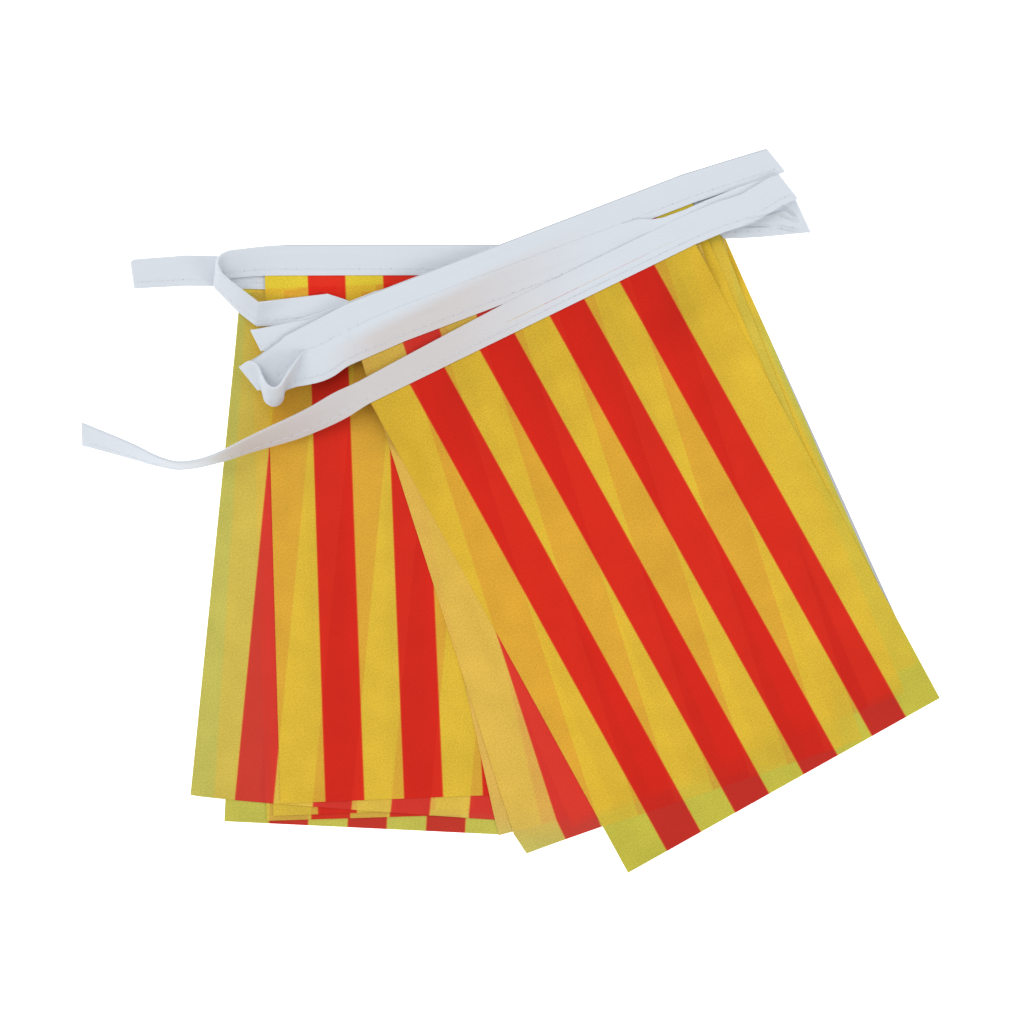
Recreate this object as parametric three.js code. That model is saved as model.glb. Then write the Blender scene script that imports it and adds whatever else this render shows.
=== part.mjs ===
// One length of string-flag bunting, folded back and forth and laid flat in two fanned piles.
// Millimetres. X runs along the header tape to the right, Y from the flags' hems up to the tape, Z is up.
// The origin is at the middle of the bunting's outline, on the surface that it lies on.
import * as THREE from "three";

const SHEET = 1.05; // height of one flag as modelled, and thickness of the folded tape
const GAP = 0.3; // air between two layers, and between a flag and the tape that it hangs from
const PITCH = SHEET + GAP;
const TAPE_WIDTH = 12; // a 24 mm band folded in half
const PILE = 5; // flags in the left pile, which the right pile lies across
const FOLD_STEPS = 4; // flats round each turn of the tape
const LONG_STEP = 30; // longest flat of the tape over the piles
const SHORT_STEP = 5; // longest flat of the tape beyond the right edge of the left pile

// Where cloth comes down past an edge beneath it: the fall starts at `start`, measured along (x, y),
// and is spread over `length` in `steps` flats.
const EAST = { x: 0.993, y: -0.115, start: 65.9, length: 48, steps: 6, fall: PILE * PITCH };
const SOUTH = { x: 0, y: -1, start: 114.5, length: 26.5, steps: 5, fall: PILE * PITCH };
const WEST = { x: -0.9989, y: 0.0469, start: 108.34, length: 12, steps: 4, fall: 2.5 };

// The flags in the order they lie, lowest first. The four corners are seen from above, and the top edge
// is where the tape's stitched edge crosses the flag.
const FLAGS = [
  { level: 0, falls: [], topLeft: [-102.1, 84.2], topRight: [37.4, 77.5],
    bottomRight: [26.4, -125.2], bottomLeft: [-111.7, -120.9] },
  { level: 1, falls: [], topLeft: [-101.7, 84.5], topRight: [37.8, 88.8],
    bottomRight: [44.2, -116.3], bottomLeft: [-95.2, -120.7] },
  { level: 2, falls: [], topLeft: [-100.5, 86.3], topRight: [38.8, 91.6],
    bottomRight: [46.8, -113.5], bottomLeft: [-92.6, -118.8] },
  { level: 3, falls: [WEST], topLeft: [-105.2, 86.5], topRight: [31.6, 83.0],
    bottomRight: [13.6, -121.6], bottomLeft: [-124.9, -110.6] },
  { level: 4, falls: [], topLeft: [-95.8, 91.6], topRight: [44.0, 91.8],
    bottomRight: [50.1, -108.3], bottomLeft: [-89.4, -113.9] },
  { level: 5, falls: [EAST, SOUTH], topLeft: [-49.1, 62.7], topRight: [83.0, 106.4],
    bottomRight: [158.3, -59.5], bottomLeft: [34.9, -117.3] },
  { level: 6, falls: [EAST, SOUTH], topLeft: [-49.3, 74.0], topRight: [85.3, 104.8],
    bottomRight: [130.9, -90.0], bottomLeft: [-4.9, -126.4] },
  { level: 7, falls: [EAST, SOUTH], topLeft: [-52.9, 67.0], topRight: [76.4, 119.2],
    bottomRight: [153.2, -70.9], bottomLeft: [23.8, -123.1] },
  { level: 8, falls: [EAST, SOUTH], topLeft: [-59.6, 69.6], topRight: [70.5, 119.6],
    bottomRight: [152.7, -68.6], bottomLeft: [23.4, -120.8] },
  { level: 9, falls: [EAST, SOUTH], topLeft: [-58.1, 58.4], topRight: [72.1, 108.4],
    bottomRight: [136.7, -88.9], bottomLeft: [4.7, -133.8] },
  { level: 10, falls: [EAST, SOUTH], topLeft: [-54.5, 42.0], topRight: [71.7, 103.6],
    bottomRight: [167.1, -72.9], bottomLeft: [45.6, -141.0] },
];

// The tape's plain turns. (x, y) is the stitched edge at the turn, `across` the direction in degrees
// from there to the folded edge, and `wide` how far apart the two edges are seen from above.
const FREE_END = { x: 67.4, y: 76.1, across: 87, wide: 12 };
const TURN_1 = { x: -142.5, y: 86.6, across: 97.8, wide: 12 };
const TURN_2 = { x: 71.7, y: 91.4, across: 92, wide: 12 };
const TURN_3 = { x: -145.3, y: 86.1, across: 97.8, wide: 12 };
const TURN_4 = { x: 73.6, y: 91.7, across: 93, wide: 12 };
const TURN_6 = { x: 115.7, y: 108.4, across: 113.7, wide: 13 };
const TURN_7 = { x: -96.2, y: 62.3, across: 116.6, wide: 9.2 };
const TURN_8 = { x: 102.7, y: 130.6, across: 113.5, wide: 10.8 };
const TURN_9 = { x: -97.4, y: 47.1, across: 128.7, wide: 12 };
const TURN_10 = { x: 110.6, y: 120.8, across: 128.4, wide: 12 };

// One pass of the tape over each flag, from its left end to its right end. Where there is no plain turn
// at the left, the loop or the lip takes its place. `bends` are further points of the stitched edge.
const PASSES = [
  { left: TURN_1, bends: [[-131.0, 87.5], [-116.1, 87.7]], right: FREE_END },
  { left: TURN_1, bends: [[-131.0, 87.5], [-116.1, 87.7]], right: TURN_2 },
  { left: TURN_3, bends: [[-131.0, 87.4], [-116.1, 87.6]], right: TURN_2 },
  { left: TURN_3, bends: [[-130.9, 87.3], [-116.1, 87.5]], right: TURN_4 },
  { left: null, bends: [[-60.0, 91.7]], right: TURN_4 },
  { left: null, bends: [], right: TURN_6 },
  { left: TURN_7, bends: [[-86.0, 60.9], [-66.0, 67.4], [96.1, 106.4]], right: TURN_6 },
  { left: TURN_7, bends: [[-59.6, 64.3]], right: TURN_8 },
  { left: TURN_9, bends: [[-91.2, 47.6], [-81.0, 58.4]], right: TURN_8 },
  { left: null, bends: [], right: TURN_10 },
  { left: null, bends: [[82.9, 108.3], [94.3, 112.0], [106.2, 119.2]], right: TURN_10 },
];
const LOOP_PASS = PILE - 1; // the pass before the loop
const LIP_PASS = 8; // the pass before the lip

// The open loop at the left, where the tape leaves the left pile and comes back for the right one.
// `z` is the height of the stitched edge, and `rise` how much higher the folded edge stands.
const LOOP = [
  { x: -95.8, y: 91.6, z: 5.93, across: 90, wide: 11.5, rise: 1.5 },
  { x: -103.6, y: 91.2, z: 5.93, across: 94, wide: 10.9, rise: 3.0 },
  { x: -110.3, y: 90.4, z: 5.93, across: 90, wide: 10.7, rise: 4.2 },
  { x: -113.8, y: 89.3, z: 6.0, across: 86, wide: 10.2, rise: 5.6 },
  { x: -115.3, y: 88.4, z: 6.6, across: 82, wide: 8.7, rise: 8.0 },
  { x: -114.9, y: 86.9, z: 7.3, across: 74, wide: 6.9, rise: 9.6 },
  { x: -112.0, y: 83.9, z: 7.3, across: 76, wide: 6.9, rise: 9.6 },
  { x: -106.9, y: 78.6, z: 7.3, across: 70, wide: 7.7, rise: 9.0 },
  { x: -98.7, y: 72.2, z: 7.3, across: 86, wide: 9.0, rise: 6.5 },
  { x: -90.0, y: 72.3, z: 7.28, across: 77, wide: 10.6, rise: 0 },
  { x: -70.1, y: 73.6, z: 7.28, across: 96, wide: 11.0, rise: 0 },
  { x: -62.7, y: 69.7, z: 7.28, across: 84, wide: 11.4, rise: 0 },
];

// The slack between the two upper passes, which stands up in a round dip like a lip.
const LIP = [
  { x: -96.8, y: 46.4, z: 12.68, across: 114, wide: 12.0, rise: 0.8 },
  { x: -95.5, y: 44.0, z: 12.68, across: 104, wide: 11.4, rise: 3.6 },
  { x: -93.1, y: 41.7, z: 12.68, across: 101, wide: 8.4, rise: 8.6 },
  { x: -91.2, y: 40.9, z: 12.68, across: 91, wide: 6.8, rise: 9.9 },
  { x: -88.8, y: 42.5, z: 12.68, across: 88, wide: 6.6, rise: 10.0 },
  { x: -87.3, y: 46.8, z: 12.68, across: 83, wide: 6.3, rise: 10.2 },
  { x: -83.4, y: 48.3, z: 12.68, across: 92, wide: 9.8, rise: 6.9 },
  { x: -76.9, y: 49.6, z: 12.68, across: 106, wide: 12.0, rise: 0 },
  { x: -70.5, y: 51.4, z: 12.68, across: 104, wide: 12.0, rise: 0 },
  { x: -63.9, y: 55.9, z: 12.68, across: 112, wide: 12.0, rise: 0 },
];

// The loose end, which comes down off the piles and lies on its stitched edge past them.
const LOOSE_END = [
  { x: -64.7, y: 36.0, z: 12.4, across: 115, wide: 10.6, rise: 4.5 },
  { x: -74.0, y: 31.8, z: 9.8, across: 114, wide: 9.5, rise: 7.2 },
  { x: -82.2, y: 28.6, z: 7.9, across: 114, wide: 8.6, rise: 8.4 },
  { x: -93.1, y: 25.4, z: 7.3, across: 113, wide: 6.8, rise: 9.9 },
  { x: -100.9, y: 23.2, z: 6.2, across: 112, wide: 5.3, rise: 10.8 },
  { x: -113.4, y: 19.2, z: 4.9, across: 106, wide: 3.3, rise: 11.5 },
  { x: -123.1, y: 17.0, z: 1.7, across: 95, wide: 2.6, rise: 11.7 },
  { x: -130.0, y: 16.4, z: 0.15, across: 90, wide: 2.7, rise: 11.7 },
  { x: -136.8, y: 17.6, z: 0.16, across: 69, wide: 3.2, rise: 11.6 },
  { x: -148.7, y: 20.9, z: 0.26, across: 71, wide: 5.4, rise: 10.7 },
  { x: -166.95, y: 25.8, z: 0.4, across: 90, wide: 8.7, rise: 8.3 },
];

const CLOTH = new THREE.MeshStandardMaterial({ color: 0xdebc37, roughness: 0.85, metalness: 0 });
const TAPE = new THREE.MeshStandardMaterial({ color: 0xdae0ea, roughness: 0.8, metalness: 0 });

const smooth = (t) => t * t * (3 - 2 * t);

// How far past the start of a fall a point lies, as a share of the fall's length.
function along(ramp, x, y) {
  return (ramp.x * x + ramp.y * y - ramp.start) / ramp.length;
}

// How much a fall has lowered the cloth at a point, in flats between the values of a smooth curve.
function fallen(ramp, x, y) {
  const share = Math.min(Math.max(along(ramp, x, y), 0), 1) * ramp.steps;
  const step = Math.min(Math.floor(share), ramp.steps - 1);
  const from = smooth(step / ramp.steps);
  const to = smooth((step + 1) / ramp.steps);
  return ramp.fall * (from + (to - from) * (share - step));
}

// The underside of a layer.
function floorOf(level, falls, x, y) {
  return falls.reduce((height, ramp) => height - fallen(ramp, x, y), level * PITCH);
}

// Cuts a convex outline in two along the line where a fall's share has the given value.
function cut(outline, ramp, share) {
  const inner = [];
  const outer = [];
  outline.forEach((point, i) => {
    const next = outline[(i + 1) % outline.length];
    const a = along(ramp, ...point) - share;
    const b = along(ramp, ...next) - share;
    if (a <= 0) inner.push(point);
    if (a >= 0) outer.push(point);
    if (a * b < 0) {
      const t = a / (a - b);
      const crossing = [point[0] + (next[0] - point[0]) * t, point[1] + (next[1] - point[1]) * t];
      inner.push(crossing);
      outer.push(crossing);
    }
  });
  return [inner, outer].filter((part) => part.length > 2);
}

// Closed geometry from rings of points: each face is a convex outline that faces out.
function closedGeometry(faces) {
  const positions = [];
  for (const face of faces) {
    for (let i = 1; i < face.length - 1; i += 1) {
      positions.push(...face[0], ...face[i], ...face[i + 1]);
    }
  }
  const geometry = new THREE.BufferGeometry();
  geometry.setAttribute("position", new THREE.Float32BufferAttribute(positions, 3));
  geometry.computeVertexNormals();
  return geometry;
}

// The point just below the stitched edge at one of a flag's top corners.
function hungFrom(top, bottom) {
  const share = GAP / Math.hypot(bottom[0] - top[0], bottom[1] - top[1]);
  return [0, 1].map((i) => top[i] + (bottom[i] - top[i]) * share);
}

// A flag: its outline is cut along every line where its slope changes, so that each part is flat and
// the flags above and below stay parallel to it.
function flagGeometry(flag) {
  const { topLeft, topRight, bottomRight, bottomLeft } = flag;
  let parts = [[hungFrom(topLeft, bottomLeft), bottomLeft, bottomRight, hungFrom(topRight, bottomRight)]];
  for (const ramp of flag.falls) {
    for (let step = 0; step <= ramp.steps; step += 1) {
      parts = parts.flatMap((part) => cut(part, ramp, step / ramp.steps));
    }
  }
  const key = (p) => p.map((v) => Math.round(v * 1e4)).join();
  const lift = (p, height) => [p[0], p[1], floorOf(flag.level, flag.falls, ...p) + height];
  const edges = new Map();
  for (const part of parts) {
    part.forEach((p, i) => {
      const q = part[(i + 1) % part.length];
      if (!edges.delete(key(q) + " " + key(p))) edges.set(key(p) + " " + key(q), [p, q]);
    });
  }
  const faces = [];
  for (const part of parts) {
    faces.push(part.map((p) => lift(p, SHEET)));
    faces.push(part.map((p) => lift(p, 0)).reverse());
  }
  for (const [p, q] of edges.values()) {
    faces.push([lift(p, 0), lift(q, 0), lift(q, SHEET), lift(p, SHEET)]);
  }
  return closedGeometry(faces);
}

// The two edges of the tape at a row of one of the tables above.
function station({ x, y, z = 0, across, wide, rise = 0 }) {
  const angle = THREE.MathUtils.degToRad(across);
  return {
    stitched: new THREE.Vector3(x, y, z),
    folded: new THREE.Vector3(x + wide * Math.cos(angle), y + wide * Math.sin(angle), z + rise),
  };
}

// The tape's height at a point of a plain pass, at half its thickness.
function middleOf(index, point) {
  return floorOf(index, index < PILE ? [] : [EAST], point.x, point.y) + SHEET / 2;
}

// Rows from one to just before the next: long flats over the piles, short ones where the tape falls.
function subdivided(row, next, index) {
  const start = along(EAST, row.stitched.x, row.stitched.y);
  const end = along(EAST, next.stitched.x, next.stitched.y);
  const falls = index >= PILE && end > 0;
  const level = falls ? Math.min(Math.max(start / (start - end), 0), 1) : 1;
  const length = row.stitched.distanceTo(next.stitched);
  const shares = [];
  const spread = (from, to, reach) => {
    const count = Math.ceil(((to - from) * length) / reach);
    for (let k = 0; k < count; k += 1) shares.push(from + ((to - from) * k) / count);
  };
  spread(0, level, LONG_STEP);
  spread(level, 1, SHORT_STEP);
  return shares.map((share) => ({
    stitched: row.stitched.clone().lerp(next.stitched, share),
    folded: row.folded.clone().lerp(next.folded, share),
  }));
}

// The rows of one plain pass, from its left end to its right end. At a bend the tape's two edges are
// mitred, and at a turn they end where the turn's line does.
function passStations(index) {
  const { left, bends, right } = PASSES[index];
  const { topLeft, topRight } = FLAGS[index];
  const ends = [left, right].filter(Boolean);
  const points = [topLeft, topRight, ...bends, ...ends.map((end) => [end.x, end.y])];
  points.sort((a, b) => a[0] - b[0]);
  const headings = points.slice(1).map(([x, y], i) => Math.atan2(y - points[i][1], x - points[i][0]));
  const rows = points.map(([x, y], i) => {
    const before = headings[Math.max(i - 1, 0)];
    const after = headings[Math.min(i, headings.length - 1)];
    const across = THREE.MathUtils.radToDeg((before + after) / 2) + 90;
    return station({ x, y, across, wide: TAPE_WIDTH / Math.cos((after - before) / 2) });
  });
  if (left) rows[0] = station(left);
  rows[rows.length - 1] = station(right);
  const all = rows.slice(0, -1).flatMap((row, i) => subdivided(row, rows[i + 1], index));
  all.push(rows[rows.length - 1]);
  for (const { stitched, folded } of all) {
    stitched.z = middleOf(index, stitched);
    folded.z = middleOf(index, folded);
  }
  return all;
}

// A turn over the end of a pass: a half circle about the line between the two layers.
function turnStations(rows) {
  const [previous, last] = rows.slice(-2);
  const way = last.stitched.clone().sub(previous.stitched).setZ(0).normalize();
  const turned = [];
  for (let step = 1; step < FOLD_STEPS; step += 1) {
    const angle = (Math.PI * step) / FOLD_STEPS;
    const shift = way.clone().multiplyScalar((PITCH / 2) * Math.sin(angle));
    shift.z = (PITCH / 2) * (1 - Math.cos(angle));
    turned.push({ stitched: last.stitched.clone().add(shift), folded: last.folded.clone().add(shift) });
  }
  return turned;
}

// The whole tape in the order it runs: odd passes run to the right, even ones to the left.
function tapeStations() {
  const rows = [];
  PASSES.forEach((pass, index) => {
    const layer = passStations(index);
    rows.push(...(index % 2 ? layer : layer.reverse()));
    if (index === LOOP_PASS) {
      rows.pop(); // the loop's first row is the same corner, already leaning
      rows.push(...LOOP.map(station));
    } else if (index === PASSES.length - 1) {
      rows.push(...LOOSE_END.map(station));
    } else {
      rows.push(...turnStations(rows));
    }
    if (index === LIP_PASS) {
      rows.push(station({ ...TURN_9, z: (LIP_PASS + 1) * PITCH + SHEET / 2 }), ...LIP.map(station));
    }
  });
  return rows;
}

// A band of even thickness through the rows, with four corners at each.
function tapeGeometry() {
  const rows = tapeStations();
  const middle = rows.map((row) => row.stitched.clone().add(row.folded).multiplyScalar(0.5));
  const rings = rows.map((row, i) => {
    const from = middle[Math.max(i - 1, 0)];
    const to = middle[Math.min(i + 1, rows.length - 1)];
    const before = middle[i].clone().sub(from).normalize();
    const after = to.clone().sub(middle[i]).normalize();
    const across = row.folded.clone().sub(row.stitched);
    const out = before.add(after).cross(across).normalize().multiplyScalar(SHEET / 2);
    return [
      row.stitched.clone().sub(out),
      row.stitched.clone().add(out),
      row.folded.clone().add(out),
      row.folded.clone().sub(out),
    ].map((corner) => corner.toArray());
  });
  const faces = [];
  for (let i = 0; i < rings.length - 1; i += 1) {
    for (let side = 0; side < 4; side += 1) {
      const next = (side + 1) % 4;
      faces.push([rings[i][side], rings[i + 1][side], rings[i + 1][next], rings[i][next]]);
    }
  }
  faces.push(rings[0], rings[rings.length - 1].reverse());
  return closedGeometry(faces);
}

const bunting = new THREE.Group();
bunting.name = "bunting";

FLAGS.forEach((flag, index) => {
  const mesh = new THREE.Mesh(flagGeometry(flag), CLOTH);
  mesh.name = `flag_${index + 1}`;
  bunting.add(mesh);
});

const tape = new THREE.Mesh(tapeGeometry(), TAPE);
tape.name = "header_tape";
bunting.add(tape);

export default bunting;
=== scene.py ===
import math

import bpy
import numpy as np
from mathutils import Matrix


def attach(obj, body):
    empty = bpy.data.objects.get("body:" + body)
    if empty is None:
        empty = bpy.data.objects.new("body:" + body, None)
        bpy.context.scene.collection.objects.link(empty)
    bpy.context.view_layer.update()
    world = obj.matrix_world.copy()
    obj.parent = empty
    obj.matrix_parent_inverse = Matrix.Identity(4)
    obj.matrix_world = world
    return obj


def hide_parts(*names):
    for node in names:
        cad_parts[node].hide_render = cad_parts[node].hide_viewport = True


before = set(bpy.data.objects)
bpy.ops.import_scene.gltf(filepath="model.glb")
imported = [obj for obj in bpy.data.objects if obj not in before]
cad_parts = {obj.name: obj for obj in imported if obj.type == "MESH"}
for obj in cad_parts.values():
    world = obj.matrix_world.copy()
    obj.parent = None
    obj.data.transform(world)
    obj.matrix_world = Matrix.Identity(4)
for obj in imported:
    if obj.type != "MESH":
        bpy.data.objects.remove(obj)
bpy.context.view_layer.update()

# Sizes and places are in millimetres in the part's own frame, and METRE turns them into metres.
METRE = 0.001
SHEET = 1.05  # thickness of the folded tape
PITCH = 1.35  # height of one layer in the middle of the piles
RIM_PITCH = 0.34  # height of one layer at the rim of the piles
RIM_REACH = 55.0  # distance from the rim over which the layers close up
REACH = 26.0  # distance over which cloth comes down past an edge beneath it
HANG = 32.0  # distance over which a flag leaves the height of its tape
DROOP_REACH = 18.0  # distance from a flag's own side over which it comes down to the next layer
HELD = 8.0  # distance from the top over which the tape holds a flag up
CLOSE = 0.3  # distance between two layers where one comes down to the other
PILE = 5  # flags in the left pile
TAPE_WIDTH = 12.0
TAPE_PLY = 0.33
CLOTH = 0.15  # thickness of a flag
FLAG_WIDTH = 139.6
FLAG_DROP = 206.0
MARGIN = 5.0  # top of a flag, held inside the folded tape
OUTER_STRIPE = 17.4
STRIPE = 15.3
STITCH_PITCH = 4.1
STITCH_INSET = 2.5
STITCH_SHARE = 0.42  # half the length of a stitch, as a share of their pitch
STITCH_RADIUS = (0.02, 0.12)  # at its ends, and how much more in its middle
STITCH_LIFT = 0.02  # middle of the thread above the face of the tape
STITCH_POINTS = 6  # rings of a stitch, and points round one with the first counted twice
ROW_STEP = 1.4  # distance between two rows of the tape
CURVE_STEP = 0.7  # the same on a free run, as a share of it
TURN_POINTS = 9  # points round a half circle, with both of its ends
CURVE_INSET = 6  # rows of a pass that a free run takes over or looks ahead to for its slope
CELL = 2.0  # side of a cell of a flag
ROUNDING = 0.09  # how softly two heights meet, in square millimetres
ON_GROUND = 0.2  # height of a flag's middle where it lies on the ground
SHORT_REACH = 4.0  # distance past an edge beneath it over which a drooping side comes down
WAVE_HEIGHT = 0.04  # of the long soft waves of a flag
WAVES = 21.0  # how far the waves run on across a flag, in radians
WAVE_SWAY = (2.2, 2.6)  # how far the waves sway down the drop, and how often, in radians
WAVE_SHIFT = 0.4  # how far the waves are shifted from flag to flag, in radians
WAVE_START = 18.0  # distance from the top over which the waves begin

# Where the tape of the right pile comes down past the left one: measured along (x, y) from `start`
# over `length`.
EAST = {"x": 0.993, "y": -0.115, "start": 65.9, "length": 48.0, "fall": PILE * PITCH}

# Corners of the flags, lowest first: top left, top right, bottom right, bottom left.
FLAGS = [
    [(-102.1, 84.2), (37.4, 77.5), (-3.5, -126.1), (-111.7, -120.9)],
    [(-101.7, 84.5), (37.8, 88.8), (44.2, -116.3), (-95.2, -120.7)],
    [(-100.5, 86.3), (38.8, 91.6), (46.8, -113.5), (-92.6, -118.8)],
    [(-105.2, 86.5), (31.6, 83.0), (13.6, -121.6), (-124.9, -110.6)],
    [(-95.8, 91.6), (37.9, 91.8), (50.1, -108.3), (-89.8, -113.9)],
    [(-49.1, 62.7), (82.4, 108.2), (158.3, -59.5), (34.9, -117.3)],
    [(-49.3, 74.0), (83.0, 105.8), (129.6, -91.8), (-4.9, -126.4)],
    [(-52.9, 67.0), (76.4, 119.2), (153.2, -70.9), (23.8, -123.1)],
    [(-59.6, 69.6), (70.5, 119.6), (152.7, -68.6), (23.4, -120.8)],
    [(-58.1, 58.6), (72.1, 108.7), (136.7, -88.9), (3.5, -133.5)],
    [(-54.5, 42.0), (71.7, 103.6), (167.1, -72.9), (45.6, -141.0)],
]
# The print across the top of a flag where the sewing has gathered or stretched it.
PRINTED_TOP = {10: (0.42, 142.6)}
# Where along the print the right bottom corner of a flag lies that is drawn in beneath other flags.
PRINTED_BOTTOM = {0: 108.3}
# The lowest flag as it shows through the fourth, a little out of its place.
SHIFTED_BENEATH = {(3, 0): [(-103.0, 84.2), (37.4, 77.5), (-4.6, -125.9), (-116.3, -120.9)]}
# How far a bottom edge hangs below the straight line between its corners, and where along it.
BOTTOM_BOWS = {3: (0.8, 0.3)}
# How far the left bottom corner of a flag is turned inwards, over the last stretch of its side.
TURNED_CORNERS = {9: (2.6, 8.0)}

# Plain turns of the tape: stitched edge x and y, direction to the folded edge in degrees, width seen.
FREE_END = (67.4, 76.1, 87, 12)
TURN_1 = (-142.5, 87.0, 97.8, 11.2)
TURN_2 = (71.7, 91.4, 92, 12)
TURN_3 = (-145.6, 86.6, 98, 11.5)
TURN_4 = (73.6, 91.7, 93, 12)
TURN_6 = (115.7, 108.4, 115, 14)
TURN_7 = (-96.2, 62.3, 116.6, 9.2)
TURN_8 = (105.7, 131.6, 129, 11.7)
TURN_9 = (-97.4, 47.1, 128.7, 12)
TURN_10 = (110.6, 121.1, 128.4, 12)

# One pass of the tape over each flag: left turn, bends of the stitched edge and right turn.
PASSES = [
    (TURN_1, [(-131.0, 87.9), (-116.1, 88.1)], FREE_END),
    (TURN_1, [(-131.0, 87.9), (-116.1, 88.1)], TURN_2),
    (TURN_3, [(-131.0, 87.8), (-116.1, 88.0)], TURN_2),
    (TURN_3, [(-126.3, 87.6), (-116.9, 87.5)], TURN_4),
    (None, [(-60.0, 91.7)], TURN_4),
    (None, [], TURN_6),
    (TURN_7, [(-86.0, 60.9), (-66.0, 67.4), (80.2, 108.6), (96.1, 106.4)], TURN_6),
    (TURN_7, [], TURN_8),
    (TURN_9, [(-91.2, 47.6), (-81.0, 58.4)], TURN_8),
    (None, [(-41.4, 65.9), (-12.5, 76.8)], TURN_10),
    (None, [(82.9, 108.3), (94.3, 112.0), (106.2, 119.2)], TURN_10),
]
LOOP_PASS = 4
LIP_PASS = 8
# How the tape of a pass narrows or is pressed flat: places along x, the shares of the full width that
# are seen there, and how flat the folded edge lies there on the pass below, from 0 to 1.
PRESSED = {
    0: ([-110, -100], [0.94, 1], [0, 0]),
    1: ([-110, -100], [0.94, 1], [0, 0]),
    2: ([-110, -100], [0.95, 1], [0, 0]),
    8: ([-97, -91, -83], [1, 1.14, 1], [0, 0, 0]),
    9: (
        [-59, -50, 46, 54, 58, 62, 71, 81, 93, 100],
        [1.07, 1.1, 1.1, 1.04, 0.88, 0.8, 0.79, 0.88, 0.97, 1],
        [1, 1, 1, 0.6, 0, 0, 0, 0, 0, 0],
    ),
    10: ([-55, -42, -19, 5, 70, 88], [0.80, 0.85, 0.93, 1, 1, 1], [0, 0, 0.3, 1, 1, 0]),
}
PRESSED_DROP = 0.72  # how far the folded edge comes down where it lies flat
PRESSED_THIN = 0.85  # how much thinner it is there
LIP_FLAT = {"start": -84.0, "length": 8.0}  # where along x the tape of the lip comes to lie flat
# Where the stitches of a pass can't be seen: pass, and from where to where along x.
UNSEEN_STITCHES = [(5, -200, 200), (6, -200, 200), (7, -200, 200), (8, -200, 35)]

# Rows of the free runs of the tape: stitched edge x, y, z, direction to the folded edge, width seen
# from above, and how much higher the folded edge is. The curve breaks at the rows in CREASES.
LOOP = [
    (-95.8, 91.6, 5.93, 90, 11.5, 1.5),
    (-103.6, 91.2, 5.93, 94, 10.9, 3.0),
    (-110.3, 90.4, 5.93, 90, 10.7, 4.2),
    (-113.8, 89.3, 6.0, 86, 10.2, 5.6),
    (-115.3, 88.4, 6.6, 82, 8.7, 8.0),
    (-114.9, 86.9, 7.3, 74, 6.9, 9.6),
    (-112.0, 83.9, 7.3, 76, 6.9, 9.6),
    (-106.9, 78.6, 7.3, 70, 7.7, 9.0),
    (-98.9, 72.1, 7.3, 85, 9.1, 6.5),
    (-90.0, 72.3, 7.28, 77, 10.6, 0),
    (-70.1, 73.6, 7.28, 96, 11.0, 0),
    (-62.7, 69.7, 7.28, 84, 11.4, 0),
]
LOOP_CREASES = (8, 10)
LIP = [
    (-96.6, 46.4, 12.68, 115, 13.2, 0.8),
    (-96.0, 44.4, 12.68, 104, 13.6, 2.0),
    (-94.7, 42.1, 12.68, 100.5, 10.9, 5.5),
    (-92.7, 40.9, 12.68, 103, 8.6, 8.4),
    (-90.8, 41.1, 12.68, 100, 6.8, 9.9),
    (-89.0, 42.9, 12.68, 95.5, 6.1, 10.3),
    (-88.3, 46.4, 12.68, 79.4, 6.3, 10.2),
    (-86.1, 47.7, 12.68, 77.8, 10.2, 6.3),
    (-83.8, 48.3, 12.68, 78.7, 13.9, 1.0),
    (-79.0, 49.0, 12.68, 92, 13.6, 0.2),
    (-73.9, 50.2, 12.68, 103, 13.6, 0),
    (-68.5, 52.6, 12.68, 106, 13.2, 0),
    (-63.9, 55.9, 12.68, 112, 12.8, 0),
]
LIP_CREASES = (8,)
LOOSE_END = [
    (-64.7, 36.0, 12.4, 115, 10.6, 4.5),
    (-74.0, 31.8, 9.8, 114, 9.5, 7.2),
    (-82.2, 28.6, 7.9, 114, 8.6, 8.4),
    (-93.1, 25.4, 7.3, 113, 6.8, 9.9),
    (-100.9, 23.2, 6.2, 112, 5.3, 10.8),
    (-113.4, 19.2, 4.9, 106, 3.3, 11.5),
    (-123.1, 17.0, 1.7, 95, 2.6, 11.7),
    (-130.0, 16.4, 0.9, 90, 2.7, 11.7),
    (-136.8, 17.6, 0.9, 69, 3.2, 11.6),
    (-148.7, 20.9, 0.9, 71, 5.4, 10.7),
    (-166.95, 25.8, 0.9, 90, 8.7, 8.3),
]

# Soft folds pressed into the tape, seen from above: from, to, half width and height.
TAPE_FOLDS = [
    ((-54.9, 72.9), (-16.0, 83.8), 3.4, 0.55),
    ((-16.0, 83.8), (35.8, 104.0), 3.0, 0.5),
    ((-30.0, 91.5), (22.0, 112.5), 2.4, 0.25),
    ((90.8, 112.2), (109.5, 117.3), 1.2, 1.2),
    ((89.6, 111.0), (102.5, 111.0), 1.0, -1.0),
    ((102.5, 111.0), (113.2, 108.8), 1.2, -1.1),
    ((104.4, 119.2), (111.4, 114.9), 0.9, -1.0),
    ((107.0, 117.0), (112.2, 113.4), 0.8, 0.9),
    ((103.6, 115.5), (112.6, 112.2), 0.7, -0.8),
]

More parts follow.
